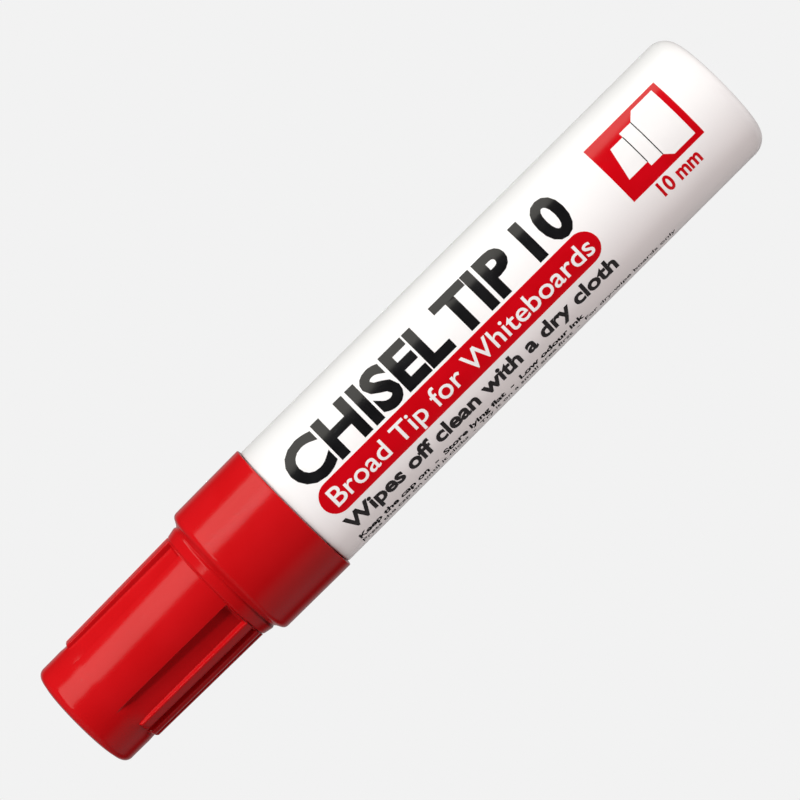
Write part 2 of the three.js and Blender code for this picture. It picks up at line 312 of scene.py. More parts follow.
# %% The ring of ribs
def make_rib_ring():
    tree, given = new_tree("rib_ring", {
        "Ribs in a group": "NodeSocketInt",
        "Groups": "NodeSocketInt",
        "Pitch": "NodeSocketFloat",
        "Direction": "NodeSocketFloat",
        "Material": "NodeSocketMaterial",
    })
    start = Wire(tree)
    ribs, groups = given["Ribs in a group"], given["Groups"]
    line = start.node("GeometryNodeMeshLine", inputs={"Count": ribs * groups, "Offset": (0, 0, 0)})
    index = start.node("GeometryNodeInputIndex")
    group = start.maths("FLOOR", index / ribs)
    place = index - group * ribs
    turn = given["Direction"] + group * (2 * math.pi) / groups + (place - (ribs - 1) / 2) * given["Pitch"]
    facing = start.node("ShaderNodeCombineXYZ", inputs={"Z": turn})
    copies = start.node("GeometryNodeInstanceOnPoints", inputs={
        "Points": line,
        "Instance": given["Geometry"],
        "Rotation": facing,
    })
    end_tree(tree, copies, given["Material"])
    return tree


rib_ring = make_rib_ring()
print("rib_ring:", len(rib_ring.nodes), "nodes")


# %% Rolling flat artwork onto the barrel
def make_wrap():
    tree, given = new_tree("wrap_on_barrel", {
        "Tail radius": "NodeSocketFloat",
        "Draft": "NodeSocketFloat",
        "Start height": "NodeSocketFloat",
        "Direction": "NodeSocketFloat",
        "Material": "NodeSocketMaterial",
    })
    start = Wire(tree)
    flat = start.node("GeometryNodeInputPosition")
    along, around, lift = (
        start.node("ShaderNodeSeparateXYZ", inputs={"Vector": flat}, output=i) for i in range(3)
    )
    height = given["Start height"] - along
    surface = given["Tail radius"] + given["Draft"] * height
    angle = given["Direction"] + around / surface
    radius = surface + lift
    place = start.node("ShaderNodeCombineXYZ", inputs={
        "X": radius * start.maths("COSINE", angle),
        "Y": radius * start.maths("SINE", angle),
        "Z": height,
    })
    flat_and_place = {"Geometry": given["Geometry"], "Position": place}
    rolled = start.node("GeometryNodeSetPosition", inputs=flat_and_place)
    end_tree(tree, rolled, given["Material"])
    return tree


wrap_on_barrel = make_wrap()
print("wrap_on_barrel:", len(wrap_on_barrel.nodes), "nodes")

# %% [markdown]
# ## Finishes
# Moulded plastic is never one flat colour: the gloss varies a little where it cooled, and the surface
# has a faint orange-peel wave that only shows in reflections. Each finish below mixes a small amount
# of noise into colour, roughness and bump, at sizes that are right for a part this small.

# %% Start a finish
# Noise hardly ever leaves this range, so it is stretched from here.
NOISE_RANGE = (0.3, 0.7)
OBJECT_COORDINATES = 3


def new_finish(name, **constants):
    """A material with a Principled shader, whose own sockets take the constants."""
    material = bpy.data.materials.new(name)
    material.use_nodes = True
    shader = material.node_tree.nodes["Principled BSDF"]
    for key, value in constants.items():
        shader.inputs[key.replace("_", " ")].default_value = value
    place = Wire(material.node_tree).node("ShaderNodeTexCoord", output=OBJECT_COORDINATES)
    return material, place, shader


def noise(place, size, detail=2.0, stretch=(1, 1, 1)):
    """Noise from 0 to 1, whose features are about size millimetres across."""
    mapped = place.node("ShaderNodeMapping", inputs={"Vector": place, "Scale": stretch})
    scale = 1 / (size * MM)
    return place.node("ShaderNodeTexNoise", inputs={"Vector": mapped, "Scale": scale, "Detail": detail})


def blend_colours(amount, first, second):
    settings = {"data_type": "RGBA"}
    inputs = {0: amount, 6: (*first, 1), 7: (*second, 1)}
    return amount.node("ShaderNodeMix", settings, inputs, output=2)


def connect(shader, **wires):
    for key, wire in wires.items():
        wire.tree.links.new(wire.socket, shader.inputs[key.replace("_", " ")])


def bumped(height, depth, strength=1.0):
    """A Bump node whose height of 1 stands depth millimetres proud."""
    inputs = {"Height": height, "Distance": depth * MM, "Strength": strength}
    return height.node("ShaderNodeBump", inputs=inputs)


# %% [markdown]
# ## Gloss plastic
# Cap and barrel are moulded in a hard gloss plastic, so the highlights on them are sharp and only a
# little hazy. A painted image could give that, but noise in Object coordinates has no seam and keeps
# its size on every piece. One function makes both colours.

# %% Gloss plastic, for the cap and the barrel
def gloss_plastic(name, dark, light, roughness, **constants):
    material, place, shader = new_finish(name, **constants)
    cooling = noise(place, 9.0)
    peel = noise(place, 1.1, detail=1.0)
    haze = noise(place, 0.35, detail=3.0)
    connect(
        shader,
        Base_Color=blend_colours(cooling.between(*NOISE_RANGE), dark, light),
        Roughness=haze.between(*NOISE_RANGE, roughness * 0.85, roughness * 1.2),
        Normal=bumped(peel, 0.004),
    )
    return material


cap_red = gloss_plastic(
    "cap_red", (0.4, 0.0035, 0.005), (0.42, 0.0045, 0.0065), 0.13, Specular_IOR_Level=0.4)
barrel_white = gloss_plastic(
    "barrel_white", (0.885, 0.885, 0.885), (0.9, 0.9, 0.9), 0.2, Specular_IOR_Level=0.4)


# %% [markdown]
# ## Printing ink
# The wording is printed in a thin, even ink that is a little glossier than the barrel. A mask could
# paint it into the barrel's colour, but ink that is thin geometry of its own keeps crisp edges from
# near by and is there in an exported mesh too.

# %% Printing ink
def printing_ink(name, dark, light):
    material, place, shader = new_finish(name)
    pinholes = noise(place, 0.12, detail=2.0)
    coverage = noise(place, 4.0)
    connect(
        shader,
        Base_Color=blend_colours(coverage.between(*NOISE_RANGE), dark, light),
        Roughness=pinholes.between(*NOISE_RANGE, 0.12, 0.18),
        Normal=bumped(pinholes, 0.0008),
    )
    return material


print_red = printing_ink("print_red", (0.56, 0.0015, 0.006), (0.6, 0.002, 0.008))
print_black = printing_ink("print_black", (0.006, 0.006, 0.007), (0.01, 0.01, 0.011))
print_white = printing_ink("print_white", (0.87, 0.87, 0.87), (0.89, 0.89, 0.89))


# %% [markdown]
# ## Satin plastic
# Nose and inner seal are of a softer plastic with a satin surface. Ink creeps out of the nib and stains
# the top of the nose, which a step in height gives, once noise has made its edge uneven.

# %% Satin plastic, for the nose and the seal
INK_STAIN = (0.62, 0.05, 0.06, 1)


def satin_plastic(name, dark, light, stain_from=None, **constants):
    """Satin plastic. From a little above the height stain_from, ink has stained it."""
    material, place, shader = new_finish(name, **constants)
    grain = noise(place, 0.25, detail=3.0)
    cooling = noise(place, 5.0)
    colour = blend_colours(cooling.between(*NOISE_RANGE), dark, light)
    if stain_from is not None:
        height = place.node("ShaderNodeSeparateXYZ", inputs={"Vector": place}, output=2)
        wicked = noise(place, 1.6, detail=4.0)
        reach = height / MM + wicked * 2.2
        stain = reach.between(stain_from + 1.2, stain_from + 3.4, 0.0, 0.55)
        plain_and_stain = {0: stain, 6: colour, 7: INK_STAIN}
        colour = place.node("ShaderNodeMix", {"data_type": "RGBA"}, plain_and_stain, output=2)
    connect(
        shader,
        Base_Color=colour,
        Roughness=grain.between(*NOISE_RANGE, 0.36, 0.5),
        Normal=bumped(grain, 0.004),
    )
    return material


nose_white = satin_plastic(
    "nose_white", (0.82, 0.82, 0.81), (0.87, 0.87, 0.86), stain_from=nose_high.z - 1.5)
seal_milky = satin_plastic(
    "seal_milky", (0.76, 0.73, 0.68), (0.82, 0.79, 0.75), Subsurface_Weight=0.25, Subsurface_Scale=0.002)


# %% [markdown]
# ## Felt, fibre and film
# The nib is pressed felt and the reservoir is a bundle of drawn fibre. Strands of geometry would take
# millions of faces, so noise that is stretched along the marker draws them in colour and bump. The
# film round the bundle is the gloss plastic again, half clear.

# %% Felt, fibre and film
def felt(name, dark, light, along, across, depth):
    """Pressed or drawn fibre: noise that is long along the marker and short across it, in millimetres."""
    material, place, shader = new_finish(name, Sheen_Weight=0.25, Specular_IOR_Level=0.2)
    stretch = (1, 1, across / along)
    strands = noise(place, across, detail=4.0, stretch=stretch)
    soak = noise(place, 2.5)
    colour = blend_colours((strands * 0.7 + soak * 0.3).between(0.3, 0.65), dark, light)
    connect(
        shader,
        Base_Color=colour,
        Roughness=strands.between(*NOISE_RANGE, 0.8, 1.0),
        Normal=bumped(strands, depth),
    )
    return material


nib_felt = felt(
    "nib_felt", (0.2, 0.004, 0.008), (0.46, 0.012, 0.02), along=0.9, across=0.16, depth=0.06)
fibre_pink = felt(
    "reservoir_fibre", (0.5, 0.1, 0.12), (0.72, 0.25, 0.28), along=6.0, across=0.12, depth=0.05)
film_clear = gloss_plastic(
    "reservoir_film", (0.7, 0.5, 0.5), (0.76, 0.6, 0.6), 0.16, Transmission_Weight=0.5)
print("finishes:", [material.name for material in bpy.data.materials])

# %% [markdown]
# ## Barrel
# The barrel is one moulding: a flat tail with a generous rounded edge, a body with a slight draft so
# that it leaves its mould, a shoulder that stops the cap, and a narrower spigot with a snap bead. A
# turned profile gives all of it. The bore is turned in the same sweep, so the wall has its thickness.

# %% Turn the barrel
TAIL_RADIUS = BARREL_RADIUS - 0.1
TAIL_EDGE = 3.2
TAIL_WALL = 2.0
BORE = 9.3
SPIGOT = 10.35
BEAD = MOUTH - 4.0
BEAD_RADIUS = SPIGOT + 0.22
BEAD_CREST = 0.33
BEAD_FOOT = 1.0
PAST_EDGE = 0.4
barrel = turned("barrel_body", [
    (0, 0, 0),
    (TAIL_RADIUS - TAIL_EDGE - PAST_EDGE, 0, 0),
    *arc(TAIL_RADIUS - TAIL_EDGE, TAIL_EDGE, TAIL_EDGE, -90, 0, steps=20),
    (TAIL_RADIUS, TAIL_EDGE + PAST_EDGE, 0),
    (BARREL_RADIUS, SHOULDER, 0.35),
    (SPIGOT, SHOULDER, 0.15),
    (SPIGOT, BEAD - BEAD_FOOT, 0.3),
    (BEAD_RADIUS, BEAD - BEAD_CREST, 0.3),
    (BEAD_RADIUS, BEAD + BEAD_CREST, 0.3),
    (SPIGOT, BEAD + BEAD_FOOT, 0.3),
    (SPIGOT, MOUTH, 0.4),
    (BORE, MOUTH, 0.1),
    (BORE, TAIL_WALL, 1.0),
    (0, TAIL_WALL, 0),
])
barrel.data.materials.append(barrel_white)
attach(barrel, "marker_body")
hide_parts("barrel")

# %% [markdown]
# ## Cap shell
# The cap is a turned shape that two wide recesses are cut into. The recesses run parallel to the axis
# while the panels between them swell towards the collar, so each recess fades out at the closed end
# and stops square at the neck ring. Booleans could cut the recesses, but they leave ragged shading at
# a soft edge. Sweeping one profile whose radius depends on the direction gives the panels, the recesses
# and their soft edges in one closed surface.

# %% Grip of the cap, with distances from its closed end
GRIP_START = 6.9
GRIP_END = 28.65
BASE_RADIUS = 9.5
PANEL_RADIUS = 10.1
PANEL_HALF = math.radians(31)
PANEL_DIRECTION = math.radians(-77)
FLOOR_START = 5.2
# Rows of the sweep, from the neck ring: close together at the square step and at the run-out.
ROWS_AT_STEP = [0.03, 0.1, 0.2, 0.3, 0.5, 1.2]
ROWS_BETWEEN = [5, 9, 13, 16, 18, 19.2]
ROWS_AT_RUN_OUT = [20, 20.4, 20.8, 21.2, 21.6, 22.0, 22.4, 22.8, 23.1]
grip_rows = [GRIP_END - row for row in ROWS_AT_STEP + ROWS_BETWEEN + ROWS_AT_RUN_OUT] + [FLOOR_START]


def from_end(distance):
    return LENGTH - distance


def panel_radius(distance):
    share = max(distance - GRIP_START, 0) / (GRIP_END - GRIP_START)
    return BASE_RADIUS + (PANEL_RADIUS - BASE_RADIUS) * share


cap_grip = [Vector((panel_radius(distance), from_end(distance))) for distance in grip_rows]
print("grip:", len(cap_grip), "rows")

# %% Rim, collar and neck ring
COLLAR_TOP = CAP_RIM + 13.75
COLLAR_RADIUS = COLLAR_RIM_RADIUS - 0.12
COLLAR_BORE = 10.75
RIM_CHAMFER = 0.3
SHOULDER_FOOT = 10.75
GROOVE = 10.42
RING_BELOW, RING_ABOVE = 10.6, 10.28
RING_FOOT = 9.98
cap_below = rounded([
    (COLLAR_BORE + RIM_CHAMFER, CAP_RIM, 0),
    (COLLAR_RIM_RADIUS, CAP_RIM, 0.22),
    (COLLAR_RADIUS, COLLAR_TOP, 0.6),
    (SHOULDER_FOOT, from_end(31.2), 0.12),
    (GROOVE, from_end(30.9), 0.1),
    (RING_BELOW, from_end(30.55), 0.3),
    (RING_ABOVE, from_end(29.0), 0.15),
    (RING_FOOT, from_end(28.8), 0.08),
    (PANEL_RADIUS, from_end(GRIP_END), 0),
])
print("rim to neck ring:", len(cap_below), "rows")

# %% Closed end and bore
END_RADIUS = 9.47
END_DRAFT = 0.01
END_CORNER = 1.3
DOME = 0.35
DOME_SHARE = 0.8
cap_end = [Vector(point[:2]) for point in [
    (END_RADIUS + END_DRAFT, from_end(4.0), 0),
    (END_RADIUS, from_end(DOME + END_CORNER + 0.3), 0),
    *arc(END_RADIUS - END_CORNER, from_end(DOME + END_CORNER), END_CORNER, 0, 84, steps=10),
    *((END_RADIUS * s, LENGTH - DOME * DOME_SHARE * s * s, 0) for s in (0.8, 0.6, 0.4, 0.2, 0.0)),
]]
CAP_BORE = 8.3
END_WALL = 1.5
COLLAR_BORE_TOP = CAP_RIM + 12.65
cap_inside = rounded([
    (0, from_end(END_WALL), 0),
    (CAP_BORE, from_end(END_WALL), 0.8),
    (CAP_BORE, from_end(30.4), 0.3),
    (COLLAR_BORE, COLLAR_BORE_TOP, 0.4),
    (COLLAR_BORE, CAP_RIM + 2 * RIM_CHAMFER, 0.1),
    (COLLAR_BORE + RIM_CHAMFER, CAP_RIM, 0),
])[:-1]
cap_rows = [tuple(p) for p in cap_below + cap_grip + cap_end + cap_inside]
first_grip_row = len(cap_below)
last_grip_row = first_grip_row + len(cap_grip) - 1
print("whole cap:", len(cap_rows), "rows")

# %% [markdown]
# ## Recess floors
# Seen from the end, a recess has flat floors that meet at corners: one between the two inner ribs, one
# on to the outer rib and one up to the panel's edge. Such a floor is a straight line between two
# corners, so its radius in any direction between them follows from the corners' radii and directions.

# %% Depth of the recesses
RIB_PITCH = math.radians(18.2)
EDGE_WIDTH = math.radians(1.5)
FLOOR_AT_EDGE = 9.7
FLOOR_AT_OUTER_RIB = 8.95
FLOOR_AT_INNER_RIB = 9.3
FLOOR_RUN_OUT = 4.0
STEP_WIDTH = 0.35


def smooth(share):
    share = min(max(share, 0), 1)
    return share * share * (3 - 2 * share)


def off_panel(angle):
    """How far a direction lies past the nearer panel's edge, from 0 on a panel to 1 in a recess."""
    turn = (angle - PANEL_DIRECTION + math.pi / 2) % math.pi - math.pi / 2
    return smooth((abs(turn) - PANEL_HALF) / EDGE_WIDTH)


def recess_floor(distance, angle):
    """The floor is flat from each rib to the next, and rounds off into the plain end."""
    turn = abs((angle - PANEL_DIRECTION) % math.pi - math.pi / 2)
    corners = [
        (-RIB_PITCH / 2, FLOOR_AT_INNER_RIB),
        (RIB_PITCH / 2, FLOOR_AT_INNER_RIB),
        (1.5 * RIB_PITCH, FLOOR_AT_OUTER_RIB),
        (math.pi / 2 - PANEL_HALF, FLOOR_AT_EDGE),
    ]
    spans = list(zip(corners, corners[1:]))
    (first, low), (last, high) = next((span for span in spans if turn <= span[1][0]), spans[-1])
    reach = low * math.sin(last - turn) + high * math.sin(turn - first)
    flat = low * high * math.sin(last - first) / reach
    run_out = smooth((distance - FLOOR_START) / FLOOR_RUN_OUT)
    return BASE_RADIUS + (flat - BASE_RADIUS) * run_out


def cap_radius(row, radius, angle):
    if not first_grip_row <= row <= last_grip_row:
        return radius
    distance = grip_rows[row - first_grip_row]
    step_down = smooth((GRIP_END - distance) / STEP_WIDTH)
    floor = min(recess_floor(distance, angle), radius)
    return radius + (floor - radius) * off_panel(angle) * step_down


# %% Sweep the cap shell
# Each edge between a panel and a recess gets this many extra columns, and two more past either side.
EDGE_COLUMNS = 10
edges = [PANEL_DIRECTION + side * PANEL_HALF + half * math.pi for side in (-1, 1) for half in (0, 1)]
cap_angles = {round(math.radians(i * 360 / COLUMNS), 6) for i in range(COLUMNS)}
for edge in edges:
    outward = 1 if off_panel(edge + EDGE_WIDTH) > off_panel(edge - EDGE_WIDTH) else -1
    for step in range(-2, EDGE_COLUMNS + 3):
        cap_angles.add(round((edge + outward * EDGE_WIDTH * step / EDGE_COLUMNS) % (2 * math.pi), 6))
cap_shell = swept("cap_outer", cap_radius, cap_rows, sorted(cap_angles), closed=True)
cap_shell.data.materials.append(cap_red)
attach(cap_shell, "cap")
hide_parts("cap_shell")

# %% [markdown]
# ## Grip ribs
# Each recess holds a group of low ribs. A rib is a shallow bar with soft edges: it ramps up near the
# closed end and stops square at the neck ring. One bar is drawn facing +X, and the ring tree copies
# it into both groups.

# %% Draw one rib
RIB_HALF = math.radians(6.25)
RIB_EDGE = math.radians(1.1)
RIB_FOOT = 6.1
RIB_RAMP = 0.9
RIB_START_RADIUS = 9.93
RIB_END_RADIUS = 10.25
RIB_ROOT = FLOOR_AT_OUTER_RIB - 0.25
RIB_BASE = RIB_ROOT - 0.1
# Points lie close together where the rib curves: across it at its edges, along it at its two ends.
ACROSS = [-1.0, -0.97, -0.94, -0.9, -0.86, -0.82, -0.5, 0, 0.5, 0.82, 0.86, 0.9, 0.94, 0.97, 1.0]
FROM_RING = (0.1, 0.06, -0.05, -0.15, -0.4, -5, -11, -17, -20, -20.4, -20.7)
FROM_FOOT = (0.9, 0.7, 0.5, 0.3, 0.15, 0.05, -0.05)
ALONG = [GRIP_END + reach for reach in FROM_RING] + [RIB_FOOT + reach for reach in FROM_FOOT]


def rib_top(distance, place):
    """The radius of a rib's face, where place runs from -1 to 1 across the rib."""
    share = (distance - RIB_FOOT - RIB_RAMP) / (GRIP_END - RIB_FOOT - RIB_RAMP)
    crest = RIB_START_RADIUS + (RIB_END_RADIUS - RIB_START_RADIUS) * max(share, 0)
    side = smooth((1 - abs(place)) * RIB_HALF / RIB_EDGE)
    ramp = smooth((distance - RIB_FOOT) / RIB_RAMP)
    return RIB_ROOT + (crest - RIB_ROOT) * side * ramp


def rib_sheet(shape, radius_at):
    """A grid of points over a rib, at the radius that radius_at gives for each."""
    return [[shape.verts.new((
        radius_at(distance, place) * math.cos(place * RIB_HALF) * MM,
        radius_at(distance, place) * math.sin(place * RIB_HALF) * MM,
        from_end(distance) * MM)) for place in ACROSS] for distance in ALONG]


def rib_mesh():
    shape = bmesh.new()
    sheets = rib_sheet(shape, rib_top), rib_sheet(shape, lambda distance, place: RIB_BASE)
    for sheet in sheets:
        for lower, upper in zip(sheet, sheet[1:]):
            for i in range(len(ACROSS) - 1):
                shape.faces.new((lower[i], lower[i + 1], upper[i + 1], upper[i]))
    top, base = (
        sheet[0] + [row[-1] for row in sheet[1:-1]] + sheet[-1][::-1] + [row[0] for row in sheet[-2:0:-1]]
        for sheet in sheets
    )
    for i in range(len(top)):
        j = (i + 1) % len(top)
        shape.faces.new((top[i], top[j], base[j], base[i]))
    return mesh_from(shape, "cap_ribs")


# %% Copy it round the cap
cap_ribs = new_object("cap_ribs", rib_mesh())
apply_tree(cap_ribs, rib_ring, {
    "Ribs in a group": 4,
    "Groups": 2,
    "Pitch": RIB_PITCH,
    "Direction": PANEL_DIRECTION + math.pi / 2,
    "Material": cap_red,
})
print("cap_ribs:", len(cap_ribs.data.polygons), "faces")
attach(cap_ribs, "cap")

# %% [markdown]
# ## Inner seal
# Ink dries in minutes in the open, so a soft cup inside the cap closes round the neck of the nose. It
# is another turned part, with two rings that grip the cap's bore and a thin lip at its mouth.

# %% Turn the inner seal
SEAL_BORE = 6.8
SEAL_LIP = SEAL_BORE - 0.2
SEAL_BODY = 7.55
SEAL_RING = seal_high.x
SEAL_TOP_WALL = 1.0
mouth, top = seal_low.z, seal_high.z
inner_seal = turned("inner_seal", [
    (SEAL_BORE, mouth, 0.2),
    (SEAL_RING, mouth, 0.25),
    (SEAL_RING, mouth + 1.4, 0.2),
    (SEAL_BODY, mouth + 1.7, 0.2),
    (SEAL_BODY, top - 4.4, 0.2),
    (SEAL_RING, top - 4.1, 0.2),
    (SEAL_RING, top - 3.0, 0.2),
    (SEAL_BODY, top - 2.7, 0.2),
    (SEAL_BODY, top, 0.6),
    (0, top, 0),
    (0, top - SEAL_TOP_WALL, 0),
    (SEAL_BORE, top - SEAL_TOP_WALL, 0.6),
    (SEAL_BORE, mouth + 2.4, 0.4),
    (SEAL_LIP, mouth + 1.6, 0.3),
    (SEAL_LIP, mouth + 1.0, 0.3),
], closed=True)
inner_seal.data.materials.append(seal_milky)
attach(inner_seal, "cap")
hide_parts("cap_inner_seal")

# %% [markdown]
# ## Nose
# The nose is turned too, but its collar is a flat rounded block with a slot through it. Boolean
# modifiers join the block to the turned part and cut the slot, as a toolmaker would build the mould.

# %% Rounded blocks
def rounded_block(name, width, depth, corner, low, high, edge=0.0, steps=12):
    """An upright block with rounded corners, and edges eased by a bevel where edge isn't 0."""
    shape = bmesh.new()
    ring = []
    for quarter in range(4):
        centre_x = (width / 2 - corner) * (1 if quarter in (0, 3) else -1)
        centre_y = (depth / 2 - corner) * (1 if quarter in (0, 1) else -1)
        for step in range(steps + 1):
            angle = math.pi / 2 * (quarter + step / steps)
            x = centre_x + corner * math.cos(angle)
            y = centre_y + corner * math.sin(angle)
            ring.append(shape.verts.new((x * MM, y * MM, low * MM)))
    face = shape.faces.new(ring)
    raised = bmesh.ops.extrude_face_region(shape, geom=[face])["geom"]
    lifted = [part for part in raised if isinstance(part, bmesh.types.BMVert)]
    bmesh.ops.translate(shape, verts=lifted, vec=(0, 0, (high - low) * MM))
    if edge:
        rims = [e for e in shape.edges if abs(e.verts[0].co.z - e.verts[1].co.z) < MERGE]
        bmesh.ops.bevel(shape, geom=rims, offset=edge * MM, segments=4, affect="EDGES", profile=0.5)
    return new_object(name, mesh_from(shape, name))


def combine(piece, other, operation):
    modifier = piece.modifiers.new(operation, "BOOLEAN")
    modifier.operation = operation
    modifier.object = other
    modifier.solver = "EXACT"
    plain_mesh(piece)
    bpy.data.objects.remove(other)


# %% Turn the outside of the nose and join its collar
SKIRT = 9.2
FLANGE = nose_high.x
FLANGE_TOP = MOUTH + 1.0
BASE = 7.8
BASE_TOP = MOUTH + 6.6
NECK = 6.5
NECK_BOTTOM = MOUTH + 8.6
NECK_TOP = MOUTH + 14.6
NOSE_COLLAR_WIDTH, NOSE_COLLAR_DEPTH, NOSE_COLLAR_CORNER = 12.2, 7.8, 2.4
OVERLAP = 1
nose = turned("nose_piece", [
    (0, nose_low.z, 0),
    (SKIRT, nose_low.z, 0.5),
    (SKIRT, MOUTH, 0),
    (FLANGE, MOUTH, 0.15),
    (FLANGE, FLANGE_TOP, 0.25),
    (BASE, FLANGE_TOP, 0.35),
    (BASE, BASE_TOP, 0.5),
    (NECK, NECK_BOTTOM, 0.5),
    (NECK, NECK_TOP, 0.7),
    (0, NECK_TOP, 0),
])
collar = rounded_block(
    "collar", NOSE_COLLAR_WIDTH, NOSE_COLLAR_DEPTH, NOSE_COLLAR_CORNER,
    NECK_TOP - OVERLAP, nose_high.z, edge=0.35)
combine(nose, collar, "UNION")

# %% Hollow the nose, and cut the nib's slot and a vent
SKIRT_BORE, BASE_BORE, NECK_BORE = 8.1, 6.7, 5.6
BORE_TOP = NECK_BOTTOM + 2
hollow = turned("hollow", [
    (0, nose_low.z - OVERLAP, 0),
    (SKIRT_BORE, nose_low.z - OVERLAP, 0),
    (SKIRT_BORE, MOUTH - 0.4, 0.4),
    (BASE_BORE, FLANGE_TOP, 0.4),
    (BASE_BORE, BASE_TOP - 0.7, 0.4),
    (NECK_BORE, NECK_BOTTOM - 0.5, 0.4),
    (NECK_BORE, BORE_TOP, 0.3),
    (0, BORE_TOP, 0),
])
combine(nose, hollow, "DIFFERENCE")
SLOT_CLEARANCE = 0.2
VENT_WIDTH = 1.0
VENT_REACH = 1.1
nib_width, nib_depth = nib_high.x - nib_low.x, nib_high.y - nib_low.y
through = (nose_low.z, nose_high.z + OVERLAP)
slot = rounded_block("slot", nib_width + SLOT_CLEARANCE, nib_depth + SLOT_CLEARANCE, 1.5, *through)
combine(nose, slot, "DIFFERENCE")
vent = rounded_block("vent", VENT_WIDTH, nib_depth + VENT_REACH, 0.3, *through, steps=4)
combine(nose, vent, "DIFFERENCE")
nose.data.shade_smooth()
nose.data.set_sharp_from_angle(angle=math.radians(35))
nose.data.materials.clear()
nose.data.materials.append(nose_white)
print("nose:", len(nose.data.polygons), "faces")
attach(nose, "marker_body")
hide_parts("nose")

# %% [markdown]
# ## Nib
# The nib is a bar of pressed felt cut to a chisel. Felt has no crisp edge, so the plain bar is
# remeshed finely and smoothed until its edges are soft, and its fibres come from the finish. A bevel
# would soften the edges too, but just as evenly as on a moulding.

# %% Soften the nib
VOXEL = 0.16
shape = bmesh.new()
shape.from_mesh(frame["nodes"]["nib"].data)
nib = new_object("nib_tip", mesh_from(shape, "nib_tip"))
remesh = nib.modifiers.new("remesh", "REMESH")
remesh.mode = "VOXEL"
remesh.voxel_size = VOXEL * MM
remesh.use_smooth_shade = True
soften = nib.modifiers.new("soften", "SMOOTH")
soften.factor = 0.5
soften.iterations = 10
plain_mesh(nib)
nib.data.materials.clear()
nib.data.materials.append(nib_felt)
print("nib:", len(nib.data.polygons), "faces")
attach(nib, "marker_body")
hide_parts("nib")

# %% [markdown]
# ## Reservoir
# The fibre bundle and its film are shut inside the barrel. Their plain shapes are right, so they stay
# as they are and only take their finishes.

# %% Finish the hidden parts
for node, material in (("reservoir_fibre", fibre_pink), ("reservoir_film", film_clear)):
    frame["nodes"][node].data.materials.clear()
    frame["nodes"][node].data.materials.append(material)
    print(node, "takes", material.name)

# %% [markdown]
# ## Printing
# The print runs along the barrel, from the cap towards the tail. It is drawn flat in millimetres:
# x runs along the marker and y runs round it. Each motif is a thin film of ink, sliced into narrow
# strips so that it can bend, and then rolled onto the barrel by the wrap tree. Wording is generic.

# %% Films of ink
# A film is sunk into the barrel by INK, so that no gap shows, and each layer stands LAYER above the last.
INK = 0.03
LAYER = 0.6 * INK


def film_of_ink(outline, layer=1):
    """A thin flat slab of ink with the given outline, in millimetres."""
    shape = bmesh.new()
    low = shape.faces.new([shape.verts.new((x, y, -INK)) for x, y in outline])
    raised = bmesh.ops.extrude_face_region(shape, geom=[low])["geom"]
    lifted = [part for part in raised if isinstance(part, bmesh.types.BMVert)]
    bmesh.ops.translate(shape, verts=lifted, vec=(0, 0, INK + LAYER * layer))
    return shape


def shifted(shape, x, y):
    bmesh.ops.translate(shape, verts=shape.verts, vec=(x, y, 0))
    return shape


def joined(shapes):
    """Several flat shapes as one."""
    whole = bmesh.new()
    for shape in shapes:
        mesh = bpy.data.meshes.new("part")
        shape.to_mesh(mesh)
        shape.free()
        whole.from_mesh(mesh)
        bpy.data.meshes.remove(mesh)
    return whole


# %% Outlines
def capsule(length, height, steps=16):
    """A bar with half-round ends, from x = 0 to length and y = 0 to height."""
    radius = height / 2
    ends = [(length - radius, -90), (radius, 90)]
    return [
        (x + radius * math.cos(math.radians(start + 180 * i / steps)),
         radius + radius * math.sin(math.radians(start + 180 * i / steps)))
        for x, start in ends for i in range(steps + 1)
    ]


def bar(x, y, width, height):
    return [(x, y), (x + width, y), (x + width, y + height), (x, y + height)]


# %% [markdown]
# ## Words
# A text object already holds letters as curves. Its mesh is stretched to the height and length that a
# row takes up on the barrel, and a small offset makes the strokes heavier, as ink does when it spreads.

# %% Lines of words
def letters(words, weight, word_space=1.0):
    """The built-in font's letters as a flat slab, thickened by weight, at a font size of 1."""
    text = bpy.data.curves.new("words", "FONT")
    text.body = words
    text.offset = weight
    text.space_word = word_space
    text.extrude = 0.01
    text.resolution_u = 4
    holder = bpy.data.objects.new("words", text)
    bpy.context.scene.collection.objects.link(holder)
    mesh = bpy.data.meshes.new_from_object(holder.evaluated_get(bpy.context.evaluated_depsgraph_get()))
    bpy.data.objects.remove(holder)
    shape = bmesh.new()
    shape.from_mesh(mesh)
    return shape


def spread(shape, axis):
    places = [v.co[axis] for v in shape.verts]
    return min(places), max(places)


def lettering(words, cap_height, length, weight=0.0, layer=1, word_space=1.0):
    """A line of words as a slab of ink, with its capitals' height and its length in millimetres."""
    reference = letters("H", weight)
    base, top = spread(reference, 1)
    reference.free()
    shape = letters(words, weight, word_space)
    left, right = spread(shape, 0)
    for v in shape.verts:
        v.co.x = (v.co.x - left) / (right - left) * length
        v.co.y = (v.co.y - base) / (top - base) * cap_height
        v.co.z = -INK if v.co.z < 0 else LAYER * layer
    return shape


# %% Roll artwork onto the barrel
STRIP = 0.8
DRAFT = (BARREL_RADIUS - TAIL_RADIUS) / (SHOULDER - TAIL_EDGE)
TAIL_SURFACE = TAIL_RADIUS - DRAFT * TAIL_EDGE


